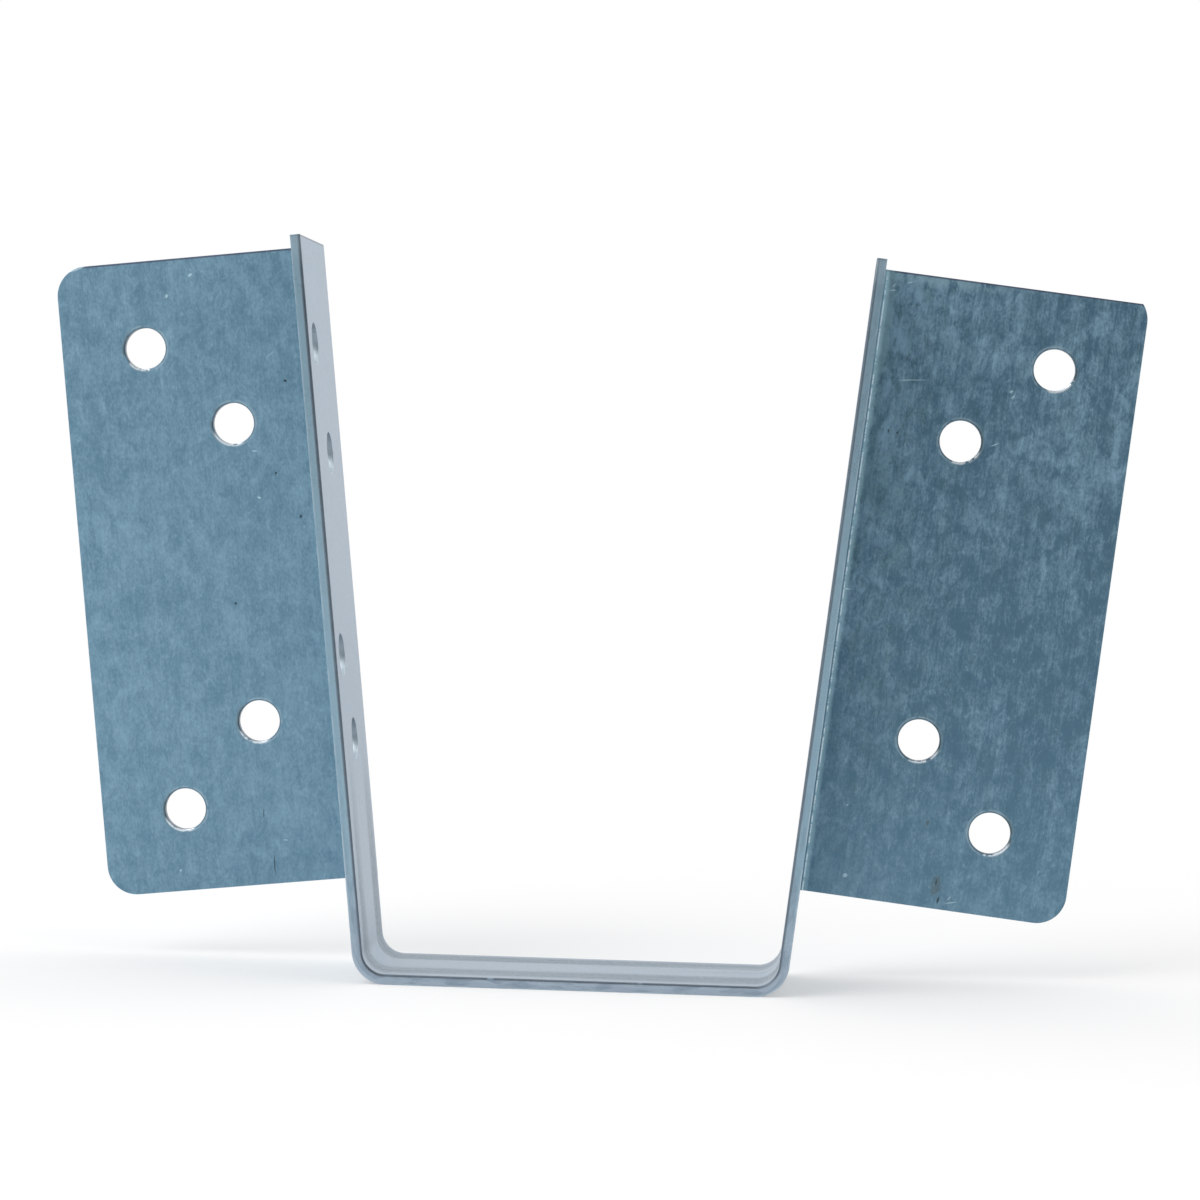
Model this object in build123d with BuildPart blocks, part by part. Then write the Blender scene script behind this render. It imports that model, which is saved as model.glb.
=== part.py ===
from build123d import *
from math import cos, radians, sin
import os

# Light joist hanger, folded from one strip of galvanised sheet. A U-shaped strap carries the
# joist, and a nailing flange is turned outward from the back of each wall. Millimetres. X runs
# across the joist, +Y points at the beam that carries the hanger and +Z up. The origin is under
# the middle of the hanger, level with the underside of its seat.

# The sheet and its folds
sheet = 1.2  # thickness
seat_bend = 2.8  # inside radius of the folds beside the seat
flange_bend = 1.0  # inside radius of the folds that turn the flanges out
splay = 6.3  # degrees that each wall leans outward

# The strap
inside_width = 48.0  # between the walls where they meet the seat
strap_depth = 21.0  # bearing of the joist, front to back
arm_length = 86.3  # along a wall, from the top of the seat to the end of the strip
short_cut = 1.3  # the right-hand end of the strip was cut this much shorter

# The flanges
flange_width = 32.0  # outer face of the wall to the free edge
flange_start = 9.3  # along the wall, from the top of the seat to the flange's lower edge
corner_radius = 3.6  # free corners of a flange

# The nail holes
nail_hole = 5.0  # diameter
side_margin = 10.2  # free edge of the flange to its outer column of holes
lower_margin = 10.0  # lower edge of the flange to its lowest hole
zigzag = 10.0  # step, across and along, from one hole of a pair to the other
upper_margin = 10.6  # end of the strip to the flange's highest hole
wall_lower_rows = (26.9, 37.1)  # along the wall, above the top of the seat
wall_upper_rows = (25.4, 12.6)  # along the wall, below the end of the strip
wall_columns = (10.4, 5.3)  # back of the front edge, turn and turn about up the wall

# The edges that the shear and the punch rolled over
shear_roll = 0.3  # front edge of the strap, on the joist's side
punch_roll = 0.15  # rim of a hole, across and deep, on the side that the punch entered
rim_angle = 90  # full angle of that rim

depth = strap_depth + flange_bend + sheet
front = -depth / 2
up_wall = Vector(sin(radians(splay)), 0, cos(radians(splay)))
outward = Vector(cos(radians(splay)), 0, -sin(radians(splay)))
seat_middle = Vector(0, 0, sheet)
foot = seat_middle + Vector(inside_width / 2, 0, 0)
arm_end = foot + up_wall * arm_length

# Planes on the right-hand wall, each with its origin level with the top of the seat
across_wall = Plane(foot, x_dir=outward, z_dir=up_wall)
wall_outside = Plane(foot + outward * sheet, x_dir=(0, 1, 0), z_dir=outward)
wall_back = Plane(foot + Vector(0, front + strap_depth, 0), x_dir=outward, z_dir=(0, -1, 0))
flange_front = wall_back.offset(-flange_bend)

# The flange, measured outward from the wall's inner face and up from the top of the seat
fold_corner = (sheet + flange_bend, flange_start)
fold_axis = Axis(wall_back.from_local_coords(fold_corner), -up_wall)
flange_height = arm_length - flange_start
free_edge = sheet + flange_width
outer_column = free_edge - side_margin
inner_column = outer_column - zigzag
lowest_row = flange_start + lower_margin
highest_row = arm_length - upper_margin
flange_holes = [
    (outer_column, lowest_row),
    (inner_column, lowest_row + zigzag),
    (inner_column, highest_row - zigzag),
    (outer_column, highest_row),
]
wall_rows = [*wall_lower_rows, *(arm_length - row for row in wall_upper_rows)]
wall_holes = [(front + wall_columns[i % 2], row) for i, row in enumerate(wall_rows)]
hole_radius = nail_hole / 2
rim_radius = hole_radius + punch_roll

with BuildPart() as hanger:
    # Right-hand half of the strap: half of the seat, its fold and the wall
    with BuildSketch(Plane.XZ.offset(-front)):
        with BuildLine():
            corners = [(point.X, point.Z) for point in (seat_middle, foot, arm_end)]
            FilletPolyline(*corners, radius=seat_bend)
            offset(amount=sheet, side=Side.RIGHT)
        make_face()
    extrude(amount=-strap_depth)

    # The back of the wall is folded outward, and the flange runs on from the fold
    with BuildSketch(wall_back):
        with Locations((0, flange_start)):
            Rectangle(sheet, flange_height, align=Align.MIN)
    revolve(axis=fold_axis, revolution_arc=90)
    with BuildSketch(flange_front) as flange:
        with Locations(fold_corner):
            Rectangle(flange_width - flange_bend, flange_height, align=Align.MIN)
        fillet(flange.vertices().group_by(Axis.X)[-1], corner_radius)
    extrude(amount=-sheet)

    # The shear rolled the front edge over on the joist's side, all along wall, fold and seat
    wall_inside = hanger.faces().filter_by(wall_outside).sort_by(Axis(foot, outward))[0]
    fillet(wall_inside.edges().sort_by(Axis.Y)[0], shear_roll)

    # Nail holes, punched in the flat from what is now the outer side
    with Locations(flange_front):
        with Locations(*flange_holes):
            CounterSinkHole(hole_radius, rim_radius, depth=sheet, counter_sink_angle=rim_angle)
    with Locations(wall_outside):
        with Locations(*wall_holes):
            CounterSinkHole(hole_radius, rim_radius, depth=sheet, counter_sink_angle=rim_angle)

    # The left-hand half, then the strip's short right-hand end, cut straight through the metal
    mirror(about=Plane.YZ)
    with BuildSketch(across_wall.offset(arm_length - short_cut)):
        Rectangle(3 * free_edge, 3 * depth)
    extrude(amount=2 * short_cut, mode=Mode.SUBTRACT)

os.makedirs("parts", exist_ok=True)
hanger.part.label = "hanger"
export_step(hanger.part, "parts/hanger.step")
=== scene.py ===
from math import cos, radians, sin, tan

import bmesh
import bpy
from mathutils import Matrix, Vector


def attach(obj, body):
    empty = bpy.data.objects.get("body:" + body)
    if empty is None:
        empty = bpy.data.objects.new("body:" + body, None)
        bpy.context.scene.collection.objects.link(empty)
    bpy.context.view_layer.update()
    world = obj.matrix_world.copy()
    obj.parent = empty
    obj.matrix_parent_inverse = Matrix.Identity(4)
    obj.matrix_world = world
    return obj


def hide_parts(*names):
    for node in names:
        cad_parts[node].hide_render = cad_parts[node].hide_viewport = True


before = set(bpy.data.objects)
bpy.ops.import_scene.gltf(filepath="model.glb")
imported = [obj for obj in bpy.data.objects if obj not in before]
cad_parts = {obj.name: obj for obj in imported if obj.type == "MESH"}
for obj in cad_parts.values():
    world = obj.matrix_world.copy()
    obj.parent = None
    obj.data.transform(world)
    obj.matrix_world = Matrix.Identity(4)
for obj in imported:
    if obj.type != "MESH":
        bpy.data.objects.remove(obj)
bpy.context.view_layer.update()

MM = 0.001

# The sheet, the strap and the flanges: the sizes of the folded part
SHEET = 1.2 * MM  # thickness
SEAT_BEND = 2.8 * MM  # inside radius of the folds beside the seat
FLANGE_BEND = 1.0 * MM  # inside radius of the folds that turn the flanges out
SPLAY = radians(6.3)  # lean of each wall
INSIDE_WIDTH = 48.0 * MM  # between the walls where they meet the seat
STRAP_DEPTH = 21.0 * MM
ARM_LENGTH = 86.3 * MM  # along a wall, from the top of the seat to the end of the strip
SHORT_CUT = 1.3 * MM  # the right-hand end of the strip was cut this much shorter
FLANGE_WIDTH = 32.0 * MM  # outer face of the wall to the free edge
FLANGE_START = 9.3 * MM  # along the wall, from the top of the seat to the flange
CORNER_RADIUS = 3.6 * MM

# The nail holes
NAIL_HOLE = 5.0 * MM
SIDE_MARGIN = 10.2 * MM  # free edge of the flange to its outer column of holes
LOWER_MARGIN = 10.0 * MM  # lower edge of the flange to its lowest hole
ZIGZAG = 10.0 * MM  # step, across and along, from one hole of a pair to the other
UPPER_MARGIN = 10.6 * MM  # end of the strip to the flange's highest hole
WALL_LOWER_ROWS = (26.9 * MM, 37.1 * MM)  # along the wall, above the top of the seat
WALL_UPPER_ROWS = (25.4 * MM, 12.6 * MM)  # along the wall, below the end of the strip
WALL_COLUMNS = (10.4 * MM, 5.3 * MM)  # back of the front edge, turn and turn about up the wall

# How far the tools rolled the edges over, as shares of the widest roll
ROLL = 0.3 * MM
FRONT_EDGE = 1.0
HOLE_RIM = 0.55
OUTLINE = 0.45
BURR_SIDE = 0.2

# How finely the sheet is modelled
SEAT_TURNS = 14
FLANGE_TURNS = 10
HOLE_SIDES = 72
CORNER_STEPS = 14
ROLL_STEPS = 4
PUNCH_LENGTH = 4 * SHEET
EDGE_ANGLE = radians(60)
SMOOTH_ANGLE = radians(40)
TINY = 0.001 * MM

# The flat blank: X along the strip from the middle of the seat, Y across it, Z through the sheet,
# with the joist's side on top at Z 0. Each point keeps its place on it under this name
BLANK = "blank"
seat_fold = radians(90) - SPLAY
flange_fold = radians(90)
wall_flat_start = SEAT_BEND * tan(seat_fold / 2)
seat_flat = INSIDE_WIDTH / 2 - wall_flat_start
seat_chord = 2 * SEAT_BEND * sin(seat_fold / SEAT_TURNS / 2)
flange_chord = 2 * FLANGE_BEND * sin(flange_fold / FLANGE_TURNS / 2)
front = -(STRAP_DEPTH + FLANGE_BEND + SHEET) / 2
strap_back = front + STRAP_DEPTH
flange_flat_start = strap_back + FLANGE_TURNS * flange_chord
blank_back = flange_flat_start + FLANGE_WIDTH - FLANGE_BEND


def along_strip(up):
    """The place along the blank of a height up the wall, measured from the top of the seat."""
    return seat_flat + SEAT_TURNS * seat_chord + up - wall_flat_start


def across_flange(outward):
    """The place across the blank of a distance outward from the wall's outer face."""
    return flange_flat_start + outward - FLANGE_BEND


def start_editing(piece, kind="VERT"):
    bpy.ops.object.select_all(action="DESELECT")
    bpy.context.view_layer.objects.active = piece
    piece.select_set(True)
    bpy.ops.object.mode_set(mode="EDIT")
    bpy.ops.mesh.select_mode(type=kind)


def pick(piece, kind, wanted):
    """Select the verts, edges or faces that are wanted, and nothing else."""
    bpy.ops.mesh.select_all(action="DESELECT")
    shape = bmesh.from_edit_mesh(piece.data)
    for item in getattr(shape, kind):
        if wanted(item):
            item.select_set(True)
    bmesh.update_edit_mesh(piece.data)


def cut_across(place, direction, **trim):
    """Cut the whole blank along a plane."""
    bpy.ops.mesh.select_all(action="SELECT")
    bpy.ops.mesh.bisect(plane_co=place, plane_no=direction, **trim)


def apply_modifier(piece, kind, **settings):
    bpy.ops.object.modifier_add(type=kind)
    modifier = piece.modifiers[-1]
    for name, value in settings.items():
        setattr(modifier, name, value)
    bpy.ops.object.modifier_apply(modifier=modifier.name)


def middle_of(edge):
    return (edge.verts[0].co + edge.verts[1].co) / 2


def cut_blank():
    """The flat strip with a tab for each flange, its free corners rounded, cut to length."""
    end = along_strip(ARM_LENGTH)
    tab_start = along_strip(FLANGE_START)
    bpy.ops.object.select_all(action="DESELECT")
    bpy.ops.mesh.primitive_cube_add(size=1, location=(0, (front + strap_back) / 2, -SHEET / 2),
                                    scale=(2 * end, STRAP_DEPTH, SHEET))
    blank = bpy.context.object
    blank.name = "folded_sheet"
    blank.data.name = "folded_sheet"
    bpy.ops.object.transform_apply(location=True, rotation=True, scale=True)

    def at_back_of_a_tab(face):
        return face.normal.y > 0.5 and abs(face.calc_center_median().x) > tab_start

    def upright_at_free_edge(edge):
        upright = abs(edge.verts[0].co.z - edge.verts[1].co.z) > TINY
        return upright and abs(middle_of(edge).y - blank_back) < TINY

    start_editing(blank)
    for side in (-1, 1):
        cut_across((side * tab_start, 0, 0), (1, 0, 0))
    bpy.ops.mesh.select_mode(type="FACE")
    pick(blank, "faces", at_back_of_a_tab)
    bpy.ops.mesh.extrude_region_move(TRANSFORM_OT_translate={"value": (0, blank_back - strap_back, 0)})
    bpy.ops.mesh.select_mode(type="EDGE")
    pick(blank, "edges", upright_at_free_edge)
    bpy.ops.mesh.bevel(offset=CORNER_RADIUS, segments=CORNER_STEPS, affect="EDGES")
    cut_across((along_strip(ARM_LENGTH - SHORT_CUT), 0, 0), (1, 0, 0), clear_outer=True, use_fill=True)
    bpy.ops.object.mode_set(mode="OBJECT")
    return blank


def hole_places():
    """Where the punch strikes the flat blank: four holes in each flange and four in each wall."""
    outer = across_flange(FLANGE_WIDTH - SIDE_MARGIN)
    inner = outer - ZIGZAG
    lowest = FLANGE_START + LOWER_MARGIN
    highest = ARM_LENGTH - UPPER_MARGIN
    places = [(lowest, outer), (lowest + ZIGZAG, inner), (highest - ZIGZAG, inner), (highest, outer)]
    rows = [*WALL_LOWER_ROWS, *(ARM_LENGTH - row for row in WALL_UPPER_ROWS)]
    places += [(row, front + WALL_COLUMNS[i % 2]) for i, row in enumerate(rows)]
    return [(side * along_strip(up), across) for side in (-1, 1) for up, across in places]


def punch_holes(blank):
    punches = []
    for along, across in hole_places():
        bpy.ops.object.select_all(action="DESELECT")
        bpy.ops.mesh.primitive_cylinder_add(vertices=HOLE_SIDES, radius=NAIL_HOLE / 2, depth=PUNCH_LENGTH,
                                            location=(along, across, -SHEET / 2))
        punches.append(bpy.context.object)
    for punch in punches:
        punch.select_set(True)
    bpy.ops.object.join()
    punch = bpy.context.object
    blank.select_set(True)
    bpy.context.view_layer.objects.active = blank
    apply_modifier(blank, "BOOLEAN", object=punch, operation="DIFFERENCE", solver="EXACT")
    bpy.data.objects.remove(punch)


def roll_edges(blank):
    """Round each edge by as much as the shear or the punch rolled it."""
    holes = [Vector(place) for place in hole_places()]
    start_editing(blank, "EDGE")
    shape = bmesh.from_edit_mesh(blank.data)
    weight = shape.edges.layers.float.new("bevel_weight_edge")
    for edge in shape.edges:
        if len(edge.link_faces) != 2 or edge.calc_face_angle() < EDGE_ANGLE:
            continue
        middle = middle_of(edge)
        joist_side = middle.z > -TINY
        outer_side = middle.z < TINY - SHEET
        if any((middle.xy - hole).length < NAIL_HOLE / 2 + TINY for hole in holes):
            edge[weight] = HOLE_RIM if outer_side else BURR_SIDE
        elif joist_side and middle.y < front + TINY:
            edge[weight] = FRONT_EDGE
        elif joist_side:
            edge[weight] = OUTLINE
        else:
            edge[weight] = BURR_SIDE
    bmesh.update_edit_mesh(blank.data)
    bpy.ops.object.mode_set(mode="OBJECT")
    apply_modifier(blank, "BEVEL", width=ROLL, segments=ROLL_STEPS, limit_method="WEIGHT")


def turn(piece, wanted, angle, axis, centre):
    """Turn the points whose places on the blank are wanted."""
    flat = bmesh.from_edit_mesh(piece.data).verts.layers.float_vector[BLANK]
    pick(piece, "verts", lambda vert: wanted(vert[flat]))
    bpy.ops.transform.rotate(value=angle, orient_axis=axis, orient_type="GLOBAL", center_override=centre)


def fold(piece, direction, start, chord, turns, angle, axis, height):
    """Fold what lies past a line in small turns, each about the inside of the bend.

    The line lies across direction, at start from the origin, and the inside of the bend is at height.
    """
    heading = direction.copy()
    hinge = direction * start + Vector((0, 0, height))
    whole_turn = angle / turns
    half_turn = whole_turn / 2
    for step in range(turns + 1):
        line = start + step * chord
        bend = half_turn if step in (0, turns) else whole_turn
        turn(piece, lambda flat: direction.dot(flat) > line + TINY, -bend, axis, hinge)
        if step:
            turn(piece, lambda flat: abs(direction.dot(flat) - line) < TINY, -half_turn, axis, hinge)
        heading = Matrix.Rotation(bend, 3, axis) @ heading
        hinge = hinge + heading * chord


def fold_blank(piece):
    """Keep each point's place on the flat blank, then fold the flanges out and the walls up."""
    start_editing(piece)
    for step in range(FLANGE_TURNS + 1):
        cut_across((0, strap_back + step * flange_chord, 0), (0, 1, 0))
    for side in (-1, 1):
        for step in range(SEAT_TURNS + 1):
            cut_across((side * (seat_flat + step * seat_chord), 0, 0), (1, 0, 0))
    shape = bmesh.from_edit_mesh(piece.data)
    flat = shape.verts.layers.float_vector.new(BLANK)
    for vert in shape.verts:
        vert[flat] = vert.co
    bmesh.update_edit_mesh(piece.data)

    fold(piece, Vector((0, 1, 0)), strap_back, flange_chord, FLANGE_TURNS, -flange_fold, "X", -SHEET)
    for side in (-1, 1):
        fold(piece, Vector((side, 0, 0)), seat_flat, seat_chord, SEAT_TURNS, -side * seat_fold, "Y", 0)
    bpy.ops.mesh.select_all(action="SELECT")
    bpy.ops.transform.translate(value=(0, 0, SHEET))
    bpy.ops.object.mode_set(mode="OBJECT")


def folded_sheet():
    piece = cut_blank()
    punch_holes(piece)
    roll_edges(piece)
    fold_blank(piece)
    bpy.ops.object.shade_smooth_by_angle(angle=SMOOTH_ANGLE)
    apply_modifier(piece, "WEIGHTED_NORMAL", keep_sharp=True, weight=60)
    return piece


class Shade:
    """A value that varies over a surface. Expressions on it add Math nodes."""

    def __init__(self, finish, socket):
        self.finish = finish
        self.socket = socket

    def _math(self, operation, *values):
        return self.finish.node("ShaderNodeMath", {"operation": operation}, dict(enumerate(values)))

    def __add__(self, other):
        return self._math("ADD", self, other)

    def __radd__(self, other):
        return self._math("ADD", other, self)

    def __sub__(self, other):
        return self._math("SUBTRACT", self, other)

    def __rsub__(self, other):
        return self._math("SUBTRACT", other, self)

    def __mul__(self, other):
        return self._math("MULTIPLY", self, other)

    def most(self, other):
        return self._math("MAXIMUM", self, other)

    def least(self, other):
        return self._math("MINIMUM", self, other)

    def size(self):
        return self._math("ABSOLUTE", self)

    def step(self, low, high):
        """0 below low, 1 above high, and smooth between them."""
        return self.finish.node("ShaderNodeMapRange", {"interpolation_type": "SMOOTHSTEP"},
                                {"Value": self, "From Min": low, "From Max": high})

    def fade(self, low, high):
        """1 below low, 0 above high, and smooth between them."""
        return 1 - self.step(low, high)


class Finish:
    """The node tree of one material, built by calls that take plain values or Shades."""

    def __init__(self, tree):
        self.tree = tree
        self.tree.nodes.clear()

    def node(self, kind, settings=None, values=None, output=0):
        node = self.tree.nodes.new(kind)
        for name, value in (settings or {}).items():
            setattr(node, name, value)
        for name, value in (values or {}).items():
            if isinstance(value, Shade):
                self.tree.links.new(value.socket, node.inputs[name])
            else:
                node.inputs[name].default_value = value
        return Shade(self, node.outputs[output]) if node.outputs else None

    def coordinates(self, vector):
        """The X, Y and Z of a vector."""
        return [self.node("ShaderNodeSeparateXYZ", None, {0: vector}, output=axis) for axis in range(3)]

    def scaled(self, vector, scale):
        return self.node("ShaderNodeVectorMath", {"operation": "MULTIPLY"}, {0: vector, 1: scale})

    def length(self, vector):
        return self.node("ShaderNodeVectorMath", {"operation": "LENGTH"}, {0: vector}, output=1)

    def distance(self, place, centre):
        return self.node("ShaderNodeVectorMath", {"operation": "DISTANCE"}, {0: place, 1: centre}, output=1)

    def noise(self, vector, scale, detail, seed, roughness=0.5, distortion=0.0):
        """Noise, with its scale along each axis. The seed shifts it to a place of its own."""
        shift = (seed, -2.3 * seed, 5.1 * seed)
        stretched = self.node("ShaderNodeMapping", {"vector_type": "POINT"},
                              {"Vector": vector, "Scale": scale, "Location": shift})
        return self.node("ShaderNodeTexNoise", {"noise_dimensions": "3D"}, {
            "Vector": stretched, "Scale": 1.0, "Detail": detail,
            "Roughness": roughness, "Distortion": distortion})

    def mix(self, share, first, second):
        return self.node("ShaderNodeMix", {"data_type": "RGBA", "blend_type": "MIX"},
                         {0: share, 6: first, 7: second}, output=2)


# Patterns change this much faster through the sheet, so a cut edge isn't streaked across
THROUGH_STRETCH = 2.5

# Where the finish changes, in millimetres on the flat blank: where each change starts and ends
FLANGE_SIDE = (9, 11)  # across, from the strap to the flange
BESIDE_FOLD = (12, 24)  # across, from the fold to the open flange
RIGHT_SIDE = (20, 60)  # along, from the seat to the right-hand wall
LOW_DOWN = (26, 60)  # along, from the seat to the upper walls
SEAT_EDGE = (22, 40)  # along, from the seat to the lower walls
JOIST_SIDE_DEPTH = 0.6  # through, the half of the sheet on the joist's side
LEFT_BREAK = -9.2  # along, a break in the line of shade painted on the rolled edge
RIGHT_BREAK = 8.2

# Colours of the finish and of the light and shade painted on it, as shares of red, green and blue light
DEEP_ZINC = (0.122, 0.250, 0.352, 1)
DEEP_DULL_ZINC = (0.088, 0.187, 0.272, 1)
LIGHT_ZINC = (0.265, 0.440, 0.570, 1)
GREEN_TARNISH = (0.095, 0.195, 0.210, 1)
SOIL = (0.05, 0.10, 0.12, 1)
JOIST_SIDE_ZINC = (0.365, 0.415, 0.50, 1)
SHADE_BAND = (0.03, 0.10, 0.17, 1)
SHEARED_STEEL = (0.305, 0.455, 0.555, 1)
SHEARED_SEAT = (0.465, 0.52, 0.61, 1)
SHEAR_NICKS = (0.15, 0.22, 0.30, 1)
SHEAR_BURR = (0.48, 0.60, 0.68, 1)
SHADED_HOLE_STEEL = (0.13, 0.16, 0.19, 1)
HOLE_HIGHLIGHT = (0.72, 0.82, 0.88, 1)
RIM_SHADE_LINE = (0.07, 0.10, 0.12, 1)
RIM_HIGHLIGHT_RING = (0.42, 0.55, 0.63, 1)
RIM_SHADE = (0.06, 0.11, 0.13, 1)
RIM_GLINT = (0.85, 0.93, 1.0, 1)
ROLLED_EDGE_SHADE = (0.06, 0.065, 0.08, 1)
FROST = (0.32, 0.49, 0.58, 1)
END_HIGHLIGHT = (0.50, 0.64, 0.74, 1)
END_SHADE_LINE = (0.08, 0.085, 0.14, 1)
FOLD_SHEEN = (0.25, 0.41, 0.47, 1)
FOLD_HIGHLIGHT = (0.58, 0.70, 0.76, 1)
SCRATCH_AND_GLINT = (0.55, 0.76, 0.86, 1)
SPECK = (0.03, 0.045, 0.05, 1)
STAIN = (0.10, 0.125, 0.11, 1)

# Marks on the fronts of the flanges, in millimetres on the flat blank: along, across, half length,
# half width, and the angle from the strip's length in degrees. Those along below 0 are on the left
# The bright marks are scratches, and near the left flange's top end painted glints and a painted light rim
SCRATCHES_AND_GLINTS = (
    (33.4, 28.3, 0.9, 0.08, 76),
    (33.9, 28.0, 0.4, 0.07, 40),
    (34.9, 15.2, 0.36, 0.32, 45),
    (43.4, 14.3, 0.2, 0.10, 70),
    (69.3, 10.75, 0.6, 0.08, 88),
    (88.9, 25.9, 0.6, 0.08, 60),
    (94.9, 27.3, 0.4, 0.10, 40),
    (95.2, 14.3, 0.8, 0.09, 80),
    (95.3, 15.0, 2.2, 0.06, 82),
    (95.5, 27.0, 0.28, 0.16, 60),
    (105.7, 11.25, 0.45, 0.13, 80),
    (106.3, 11.3, 0.3, 0.10, 25),
    (106.9, 13.2, 0.45, 0.10, 72),
    (-34.9, 33.0, 0.2, 0.15, 0),
    (-37.6, 19.8, 0.4, 0.08, 100),
    (-79.5, 19.4, 0.3, 0.15, 110),
    (-82.0, 12.0, 1.6, 0.10, 3),
    (-85.2, 19.5, 0.4, 0.10, 95),
    (-96.7, 16.6, 0.8, 0.04, 55),
    (-104.9, 28.6, 0.3, 0.2, 20),
    (-107.2, 25.5, 0.35, 0.2, 60),
    (-108.1, 12.7, 0.5, 0.16, 5),
    (-109.1, 39.3, 1.3, 0.15, 75),
)
DARK_MARKS = (
    (33.5, 26.7, 0.55, 0.17, 8),
    (35.6, 26.2, 0.5, 0.12, 0),
    (88.8, 14.1, 0.22, 0.12, 40),
    (88.9, 13.0, 0.2, 0.12, 0),
    (-34.7, 21.4, 1.6, 0.08, 2),
    (-41.0, 22.2, 0.7, 0.07, 4),
    (-66.9, 23.4, 0.22, 0.19, 0),
    (-76.8, 14.5, 0.28, 0.18, 30),
    (-82.3, 17.1, 0.22, 0.17, 0),
    (-93.4, 15.0, 0.27, 0.2, 120),
)
STAINS = (
    (35.2, 26.2, 1.5, 0.75, 5),
    (42.6, 24.2, 0.5, 0.25, 0),
)


class SheetFinish(Finish):
    """The finish of the folded sheet, laid on coat by coat.

    It follows the flat blank, in millimetres, so it turns with the sheet at every fold.
    """

    def __init__(self, tree):
        super().__init__(tree)
        blank = self.node("ShaderNodeAttribute", {"attribute_name": BLANK}, output=1)
        self.flat = self.scaled(blank, (1 / MM, 1 / MM, 1 / MM))
        self.level = self.scaled(self.flat, (1, 1, 0))
        self.place = self.scaled(self.flat, (1, 1, THROUGH_STRETCH))
        self.along, self.across, self.through = self.coordinates(self.flat)
        self.zinc = None
        self.find_regions()
        self.find_patterns()

    def find_regions(self):
        """Find the strap, the flanges, the cut edges and the two sides of the sheet."""
        self.flange = self.across.step(*FLANGE_SIDE)
        self.strap = (1 - self.flange) * (self.through + JOIST_SIDE_DEPTH).step(0.0, 0.2)
        self.right_flange = self.along.step(*RIGHT_SIDE) * self.flange
        self.beside_fold = self.across.fade(*BESIDE_FOLD)
        self.low = self.along.size().fade(*LOW_DOWN)
        self.from_outside = self.through + SHEET / MM
        self.outer_side = self.from_outside.fade(0.3, 0.5)
        self.from_front = self.across - front / MM
        self.from_hole = self.from_nearest(hole_places()) - NAIL_HOLE / MM / 2
        self.sheared = self.from_front.fade(0.01, 0.04)
        self.torn = self.from_hole.fade(0.01, 0.04)

    def find_patterns(self):
        """Make clouds of a few millimetres, streaks and bands from the rolls, and a fine grain. The bands
        also shape painted shade.
        """
        self.clouds = self.pattern((0.40, 0.58, 0.3), detail=5, roughness=0.64, distortion=0.5, seed=1.7)
        self.streaks = self.pattern((0.14, 2.4, 0.3), detail=4, roughness=0.75, seed=7.9)
        self.bands = self.pattern((0.035, 0.30, 0.4), detail=1, roughness=0.4, distortion=0.2, seed=6.4)
        self.grain = self.pattern((2.2, 4.0, 1.0), detail=3, roughness=0.75, seed=2.3)
        self.uneven = self.pattern((0.9, 0.9, 0.5), detail=3, seed=3.6)

    def pattern(self, scale, **settings):
        """Noise that follows the sheet, with its scale along, across and through it."""
        return self.noise(self.place, scale, **settings)

    def from_nearest(self, centres, shift=(0, 0)):
        """Distance to the nearest of the centres, each moved away from the seat and towards the beam."""
        nearest = None
        for x, y in centres:
            away = shift[0] if x > 0 else -shift[0]
            gap = self.distance(self.level, (x / MM + away, y / MM + shift[1], 0))
            nearest = gap if nearest is None else nearest.least(gap)
        return nearest

    def marked(self, marks):
        """1 inside any of the marks and 0 away from them, on the outer side alone."""
        nearest = None
        for along, across, half_length, half_width, angle in marks:
            inside = self.node("ShaderNodeMapping", {"vector_type": "TEXTURE"}, {
                "Vector": self.level, "Location": (along, across, 0), "Rotation": (0, 0, radians(angle)),
                "Scale": (half_length, half_width, 1)})
            away = self.length(inside)
            nearest = away if nearest is None else nearest.least(away)
        return nearest.fade(0.5, 1.0) * self.outer_side

    def lay(self, share, colour):
        """Lay a colour over what is there, with as much cover as share says."""
        self.zinc = self.mix(share, self.zinc, colour)

    def coat_with_zinc(self):
        """Lay the cloudy zinc, and give back how light it is at each place.

        On the right flange it is duller, more streaked and greener, most of all beside the fold.
        """
        drifts = self.pattern((0.07, 0.11, 0.1), detail=3, roughness=0.55, seed=4.2)
        flecks = self.pattern((0.85, 1.2, 0.8), detail=4, roughness=0.72, distortion=0.6, seed=5.5)
        greening = self.pattern((0.20, 0.34, 0.1), detail=5, roughness=0.66, distortion=0.5, seed=9.1)
        soiling = self.pattern((0.55, 1.1, 1.0), detail=4, roughness=0.72, distortion=0.4, seed=3.1)
        dull = self.right_flange
        blotched = dull * (0.85 + self.along.step(62, 96) * 0.3)

        tone = (self.clouds - 0.5) * (1.05 + blotched * 0.6) + (drifts - 0.5) * (0.4 + dull * 0.3)
        tone = tone + (self.streaks - 0.5) * (0.45 + dull * 0.4) + (self.grain - 0.5)
        tone = tone + flecks.step(0.58, 0.70) * 0.26 + 0.43 - dull * 0.14
        tone = tone + dull * ((self.along - 76) * 0.0046 + self.beside_fold * 0.12)
        tone = tone.step(0.0, 1.0)
        self.zinc = self.mix(tone, self.mix(dull, DEEP_ZINC, DEEP_DULL_ZINC), LIGHT_ZINC)

        green = dull * greening.step(0.42, 0.66) * (0.25 + self.beside_fold * 0.55)
        soiled = blotched * soiling.step(0.52, 0.70) * (0.25 + self.beside_fold * 0.20)
        self.lay(green * 0.45, GREEN_TARNISH)
        self.lay(soiled, SOIL)
        return tone

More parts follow.
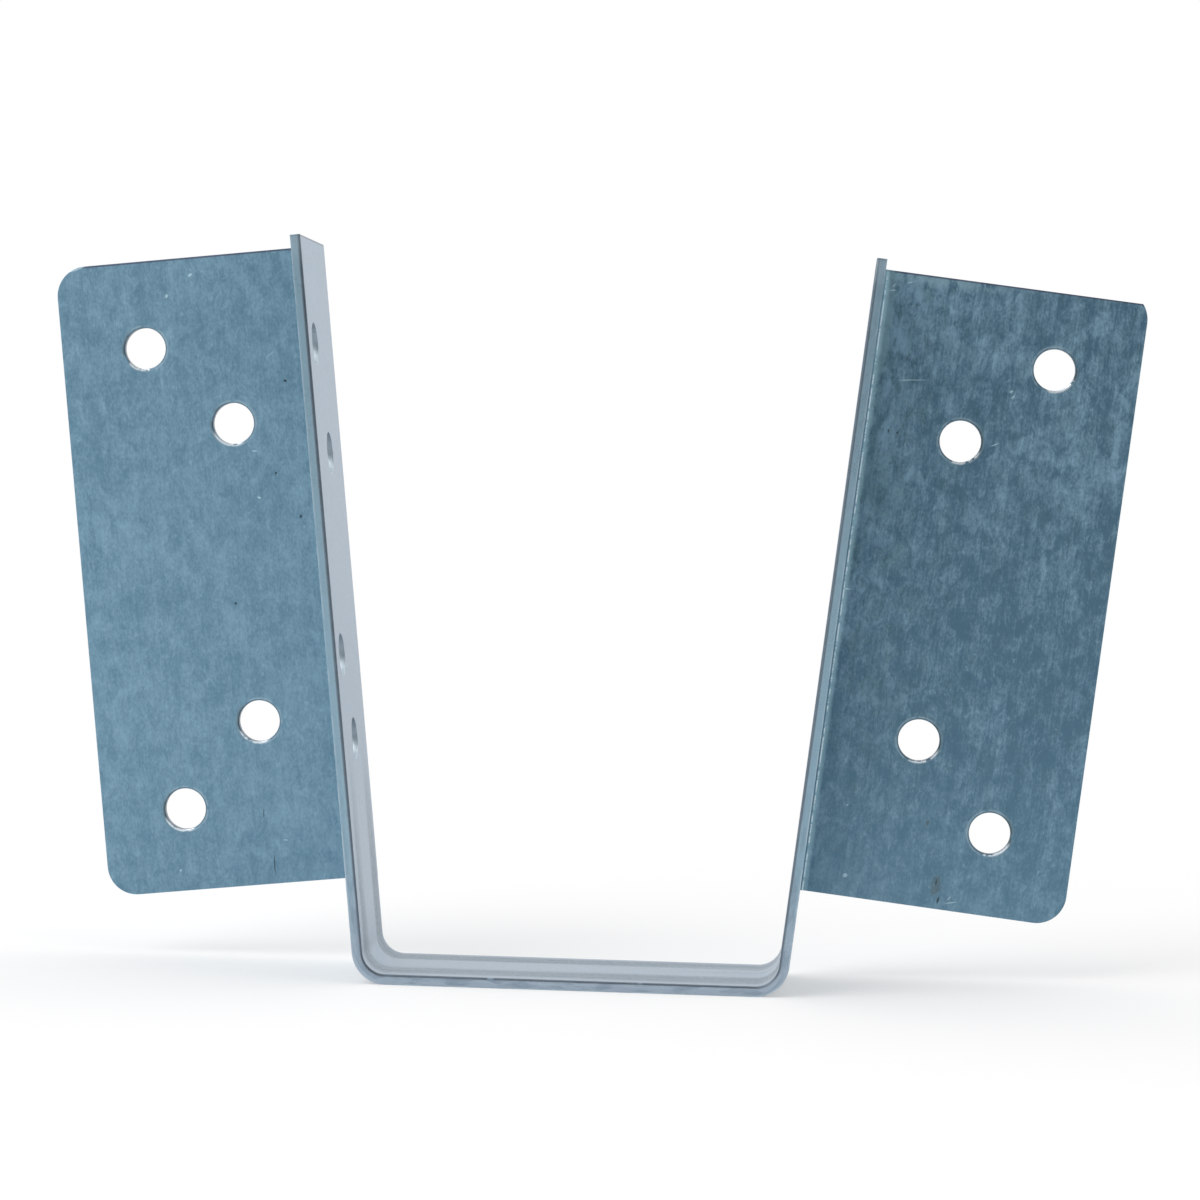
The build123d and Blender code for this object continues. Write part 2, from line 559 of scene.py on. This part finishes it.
    def shade_bands_on_joist_side(self):
        """Make the joist's side of the strap paler, and paint two bands of shade along it low down."""
        far_band = self.across.step(2.0, 4.8) * (1 - self.across.step(7.2, 9.0) * 0.6)
        near_band = self.across.fade(-6.0, -1.5) * self.across.step(-11.4, -7.4)
        dim = far_band + near_band * 0.95 + (self.bands - 0.5) * 1.2 + (self.streaks - 0.5) * 0.4
        self.lay(self.strap * 0.5, JOIST_SIDE_ZINC)
        # Painted shade: dark bands along the seat and the low walls, broken up by the bands and streaks
        self.lay((self.strap * self.low * dim).step(0.0, 1.2) * 0.8, SHADE_BAND)

    def cut_edges(self):
        """Show sheared steel at the front edge, and torn steel in the holes darkened with painted shade,
        with a highlight painted on the walls' holes that is brightest on their lower sides.
        """
        nicked = self.noise(self.flat, (0.35, 1.0, 1.6), detail=2, roughness=0.6, distortion=0.4, seed=2.9)
        seat_edge = self.along.size().fade(*SEAT_EDGE)
        burr = self.from_outside.fade(0.06, 0.24) * (nicked.step(0.42, 0.56) * 0.8 + 0.1)
        self.lay(self.sheared * 0.8, SHEARED_STEEL)
        self.lay(self.sheared * seat_edge * 0.7, SHEARED_SEAT)
        self.lay(self.sheared * self.low * (0.1 + nicked.step(0.40, 0.64) * 0.4), SHEAR_NICKS)
        self.lay(self.sheared * (0.5 + self.low * 0.5) * burr, SHEAR_BURR)

        wall_holes = [centre for centre in hole_places() if centre[1] < strap_back]
        lit_below = self.from_nearest(wall_holes, (1.0, 0.0)) - self.from_nearest(wall_holes)
        lit = (1 - self.flange) * (0.25 + lit_below.step(0.1, 0.9) * 0.7)
        # Torn steel darkened as painted shade, then a painted highlight on the strap's holes, most on their
        # lower sides
        self.lay(self.torn * 0.8, SHADED_HOLE_STEEL)
        self.lay(self.torn * lit, HOLE_HIGHLIGHT)

    def paint_light_on_rims(self):
        """Paint light and shade on the rims of the flanges' holes, and give back where the painted glint
        is.

        Each rim gets a painted dark line and a pale painted ring,
        with painted shade at the free edge's side and a painted glint below.
        """
        flange_holes = [centre for centre in hole_places() if centre[1] > strap_back]
        hole_middle = self.from_nearest(flange_holes)
        to_free_edge = self.from_nearest(flange_holes, (0.0, -1.0)) - hole_middle
        downward = self.from_nearest(flange_holes, (0.9, -0.4)) - hole_middle
        rim = self.from_hole.step(0.0, 0.03) * self.outer_side
        line = rim * self.from_hole.fade(0.07, 0.16)
        rim_highlight = rim * self.from_hole.step(0.14, 0.22) * self.from_hole.fade(0.26, 0.48)
        rim_highlight = rim_highlight * self.uneven.step(0.34, 0.52)
        shade = rim * self.from_hole.fade(0.20, 0.52) * to_free_edge.step(0.45, 0.9)
        shade = shade * self.uneven.step(0.32, 0.56)
        glint = rim * self.from_hole.fade(0.20, 0.34) * downward.step(0.70, 0.90)
        glint = glint * self.uneven.step(0.40, 0.50)
        # Painted light and shade on the rims: a dark line, a pale ring, shade at the free edge's side and a
        # glint below
        self.lay(line * 0.5, RIM_SHADE_LINE)
        self.lay(rim_highlight * 0.5, RIM_HIGHLIGHT_RING)
        self.lay(shade * 0.65, RIM_SHADE)
        self.lay(glint * 0.9, RIM_GLINT)
        return glint

    def shade_front_edge(self):
        """Paint a line of shade along the rolled front edge on the joist's side, with two short breaks
        under the joist.
        """
        near_top = (self.through + 0.36 - self.low * 0.12).step(-0.08, 0.08)
        rolled = self.from_front.fade(0.18, 0.28) * near_top
        beside_left_break = (self.along - LEFT_BREAK).size().step(0.2, 0.5)
        beside_right_break = 0.4 + (self.along - RIGHT_BREAK).size().step(0.1, 0.4) * 0.6
        unbroken = beside_left_break * beside_right_break
        # Painted shade: a dark line along the rolled front edge
        self.lay(rolled * unbroken * (0.5 + self.uneven * 0.25), ROLLED_EDGE_SHADE)

    def frost_and_shade_ends(self):
        """Paint a line of shade along the strip's sheared ends, with frosted zinc below it on the right,
        and a painted highlight on the cut edge near the ends.
        """
        from_left_end = self.along + along_strip(ARM_LENGTH) / MM
        from_right_end = along_strip(ARM_LENGTH - SHORT_CUT) / MM - self.along
        from_end = from_left_end.least(from_right_end)
        frosted = self.right_flange * self.outer_side * from_end.fade(0.6, 1.7)
        frosted = frosted * self.clouds.step(0.40, 0.52) * self.across.fade(17, 30)
        self.lay(frosted * 0.55, FROST)
        # Painted highlight on the cut edge near the ends, then a painted line of shade along the ends
        self.lay(self.sheared * from_end.fade(0.5, 4.5) * 0.4, END_HIGHLIGHT)
        self.lay(from_end.fade(0.16, 0.30) * (1 - self.sheared * 0.7) * 0.75, END_SHADE_LINE)

    def highlight_fold(self):
        """Paint a highlight inside the flange's fold, and give back where it is.

        A broken painted highlight runs along the bend, with a pale painted sheen beside it
        that is widest at the top right, where the zinc is also scuffed.
        """
        in_fold = self.across - strap_back / MM
        broken = self.pattern((1.1, 0.3, 0.2), detail=4, roughness=0.75, seed=8.2)
        wider = self.right_flange * self.along.step(82, 100) * self.clouds.step(0.38, 0.56)
        paler = in_fold.step(0.4, 0.6) * (in_fold - wider * 0.9).fade(1.15, 1.6)
        paler = paler * self.outer_side * (1 + wider * 0.8)
        fold_highlight = in_fold.step(0.72, 0.80) * in_fold.fade(0.92, 1.02)
        fold_highlight = fold_highlight * self.outer_side * broken.step(0.42, 0.54)
        # Painted sheen beside the fold, widened where it is scuffed at the top right, and a broken painted
        # highlight along the bend
        self.lay(paler * 0.35, FOLD_SHEEN)
        self.lay(fold_highlight * 0.75, FOLD_HIGHLIGHT)
        return fold_highlight

    def mark(self):
        """Add the scratches, specks and stains, and the painted glints among the bright marks."""
        # The bright marks lay scratches and painted glints
        self.lay(self.marked(SCRATCHES_AND_GLINTS) * 0.7, SCRATCH_AND_GLINT)
        self.lay(self.marked(DARK_MARKS) * 0.85, SPECK)
        self.lay(self.marked(STAINS) * (self.uneven * 0.9), STAIN)

    def surface(self, tone, polished_and_highlighted):
        """Finish the metal with its bumps. It is smoother on the sheared edge and where highlights are
        painted.
        """
        worked = self.sheared.most(self.torn)
        waves = self.bands * self.strap * self.low
        relief = (self.streaks * 0.6 + self.clouds * 0.8 + self.grain * 0.4) * (1 - worked)
        broad = self.node("ShaderNodeBump", None, {
            "Strength": 1.0, "Distance": 0.06 * MM, "Height": waves})
        bump = self.node("ShaderNodeBump", None, {
            "Strength": 0.2, "Distance": 0.02 * MM, "Normal": broad, "Height": relief})
        bare = self.strap * self.from_front.step(0.3, 0.6)
        roughness = 0.36 + tone * 0.10 - polished_and_highlighted * 0.10 + self.torn * 0.1 + bare * (self.grain - 0.5) * 0.4
        shader = self.node("ShaderNodeBsdfPrincipled", None, {
            "Base Color": self.zinc, "Metallic": 0.95, "Roughness": roughness, "Normal": bump,
            "Coat Weight": 0.3, "Coat Roughness": 0.25})
        self.node("ShaderNodeOutputMaterial", None, {"Surface": shader})


def galvanised_sheet():
    """Dull zinc on rolled steel, cloudy and streaked along the strip, with marks where it was worked,
    and light and shade painted on its edges, hole rims and folds.
    """
    material = bpy.data.materials.new("galvanised_sheet")
    material.use_nodes = True
    sheet = SheetFinish(material.node_tree)
    tone = sheet.coat_with_zinc()
    sheet.shade_bands_on_joist_side()
    sheet.cut_edges()
    glint = sheet.paint_light_on_rims()
    sheet.shade_front_edge()
    sheet.frost_and_shade_ends()
    fold_highlight = sheet.highlight_fold()
    sheet.mark()
    sheet.surface(tone, sheet.sheared.most(glint).most(fold_highlight))
    return material


# The camera stands where the photograph was taken from. The photograph's frame is 1200 pixels square
FRAME_PIXELS = 1200
FOCAL_PIXELS = 3935.3
SENSOR = 36.0
AIM = Vector((1.75, 0.0, 45.11)) * MM
DISTANCE = 466.85 * MM
YAW = radians(3.405)
PITCH = radians(1.83)
ROLL_OF_CAMERA = radians(1.454)
NEAREST_SEEN = 10 * MM
FARTHEST_SEEN = 20

# The light, in metres and watts, and how bright the dim side of the room is on the right and the left
LAMP_PLACE = (-0.7, -0.7, 0.9)
LAMP_SIZE = 0.8
LAMP_WATTS = 6
DIM_RIGHT = 0.14
DIM_LEFT = 0.76
DIM_BEHIND = (-0.85, -0.25)  # Y of a direction: as dim as it gets below these, and white above them
DIM_ACROSS = (-0.33, 0.05)  # X of a direction: as on the left below these, and as on the right above

# The floor, in metres. Near the hanger this share of it takes the shadow and the rest is white,
# and between the two distances it all turns white
FLOOR_SIZE = 6
SHADOW_SHARE = 0.6
SHADOW_FADES_FROM = 0.06
SHADOW_GONE_AT = 0.25
FLOOR_COLOUR = (0.94, 0.94, 0.94, 1)
WHITE = (1, 1, 1, 1)


def camera():
    forward = Vector((-sin(YAW) * cos(PITCH), cos(YAW) * cos(PITCH), -sin(PITCH)))
    level = Vector((cos(YAW), sin(YAW), 0))
    upward = level.cross(forward)
    right = cos(ROLL_OF_CAMERA) * level + sin(ROLL_OF_CAMERA) * upward
    top = -sin(ROLL_OF_CAMERA) * level + cos(ROLL_OF_CAMERA) * upward
    lens = bpy.data.cameras.new("camera")
    lens.sensor_width = SENSOR
    lens.lens = FOCAL_PIXELS / FRAME_PIXELS * SENSOR
    lens.clip_start = NEAREST_SEEN
    lens.clip_end = FARTHEST_SEEN
    stand = bpy.data.objects.new("camera", lens)
    facing = Matrix((right, top, -forward)).transposed().to_4x4()
    stand.matrix_world = Matrix.Translation(AIM - forward * DISTANCE) @ facing
    bpy.context.scene.collection.objects.link(stand)
    bpy.context.scene.camera = stand


def key_light():
    """A square lamp that faces the middle of the hanger."""
    lamp = bpy.data.lights.new("key_light", "AREA")
    lamp.shape = "SQUARE"
    lamp.size = LAMP_SIZE
    lamp.energy = LAMP_WATTS
    stand = bpy.data.objects.new("key_light", lamp)
    stand.location = LAMP_PLACE
    aim = AIM - Vector(LAMP_PLACE)
    stand.rotation_euler = aim.to_track_quat("-Z", "Y").to_euler()
    bpy.context.scene.collection.objects.link(stand)


def studio():
    """White surroundings on every side but the camera's, where the room is dimmer, most so on the right."""
    world = bpy.data.worlds.new("studio")
    bpy.context.scene.world = world
    world.use_nodes = True
    finish = Finish(world.node_tree)
    x, y, _ = finish.coordinates(finish.node("ShaderNodeTexCoord"))
    behind_camera = y.fade(*DIM_BEHIND)
    leftward = x.fade(*DIM_ACROSS)
    dimmed = DIM_RIGHT + leftward * (DIM_LEFT - DIM_RIGHT)
    seen = finish.node("ShaderNodeLightPath")
    strength = (1.0 - behind_camera * (1.0 - dimmed)).most(seen)
    shader = finish.node("ShaderNodeBackground", None, {"Color": WHITE, "Strength": strength})
    finish.node("ShaderNodeOutputWorld", None, {"Surface": shader})


def floor():
    """A pale floor that holds the shadow near the hanger and fades to the white of the surroundings."""
    bpy.ops.object.select_all(action="DESELECT")
    bpy.ops.mesh.primitive_plane_add(size=FLOOR_SIZE, location=(0, 0, 0))
    ground = bpy.context.object
    ground.name = "floor"
    material = bpy.data.materials.new("pale_floor")
    material.use_nodes = True
    finish = Finish(material.node_tree)
    away = finish.length(finish.node("ShaderNodeTexCoord", output=3))
    seen = finish.node("ShaderNodeLightPath")
    matt = finish.node("ShaderNodeBsdfPrincipled", None, {
        "Base Color": FLOOR_COLOUR, "Roughness": 0.9, "Specular IOR Level": 0.0})
    white = finish.node("ShaderNodeEmission", None, {"Color": WHITE, "Strength": 1.0})
    whiter = away.step(SHADOW_FADES_FROM, SHADOW_GONE_AT) * SHADOW_SHARE
    faded = seen * (1 - SHADOW_SHARE + whiter)
    shader = finish.node("ShaderNodeMixShader", None, {0: faded, 1: matt, 2: white})
    finish.node("ShaderNodeOutputMaterial", None, {"Surface": shader})
    ground.data.materials.append(material)


hanger = folded_sheet()
hanger.data.materials.clear()
hanger.data.materials.append(galvanised_sheet())
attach(hanger, "root")
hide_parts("hanger")

camera()
studio()
key_light()
floor()

bpy.context.scene.view_settings.view_transform = "Standard"
